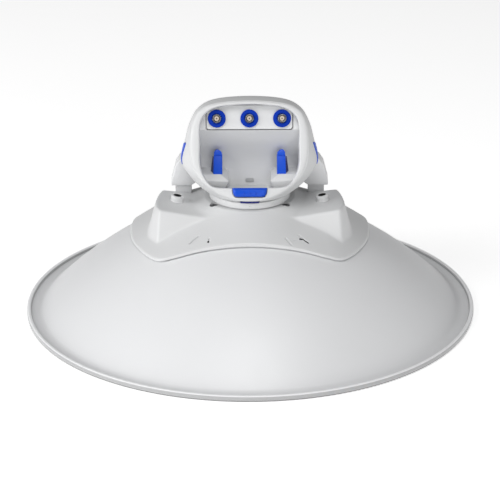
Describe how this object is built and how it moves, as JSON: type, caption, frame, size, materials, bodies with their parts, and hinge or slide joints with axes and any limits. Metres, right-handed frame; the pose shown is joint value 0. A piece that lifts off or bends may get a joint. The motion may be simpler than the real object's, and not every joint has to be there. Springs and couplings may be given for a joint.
{
  "type": "parabolic dish antenna",
  "caption": "Round parabolic dish reflector with a saddle plate, hub collar, radio hood with coaxial sockets, latches and bracket arms behind; rests on its rim.",
  "frame": {"origin": "middle of the circle that the rim rests on, in the plane of the dish's mouth", "axes": "+Z along the dish's axis towards its back, -Y on the side that the radio hood's mouth faces, +X to the right seen from there"},
  "size_m": [0.45, 0.45, 0.2202],
  "materials": {
    "reflector": "satin pale grey powder coat",
    "rim": "satin pale grey powder coat over a rolled hem",
    "shell": "fine moulded texture, cool white",
    "blue": "semi-matte royal blue",
    "seal": "semi-matte royal blue",
    "connector": "nickel plated",
    "insulator": "waxy cream",
    "screw": "dark zinc",
    "bracket": "satin pale grey powder coat",
    "feed": "turned and brushed"
  },
  "bodies": {
    "root": {"reflector_shell": "reflector", "rim_hem": "rim", "mount_plate": "shell", "collar_screw_left": "screw", "collar_screw_right": "screw", "boss_left": "shell", "boss_right": "shell", "hub_collar": "shell", "hood_shell": "shell", "side_button_left": "blue", "side_button_right": "blue", "connector_panel": "shell", "connector_seal_left": "seal", "connector_seal_centre": "seal", "connector_seal_right": "seal", "connector_left": "connector", "connector_centre": "connector", "connector_right": "connector", "connector_core_left": "insulator", "connector_core_centre": "insulator", "connector_core_right": "insulator", "clip_bar_left": "blue", "clip_bar_right": "blue", "clip_arm_left": "blue", "clip_arm_right": "blue", "clip_ledge_left": "shell", "clip_ledge_right": "shell", "lock_tab": "shell", "front_latch": "blue", "latch_release": "blue", "bracket_cheek_left": "bracket", "bracket_cheek_right": "bracket", "bracket_leg_left": "bracket", "bracket_leg_right": "bracket", "bracket_web": "bracket", "feed_tube": "feed", "feed_flange": "feed", "feed_cap": "shell"}
  },
  "joints": []
}
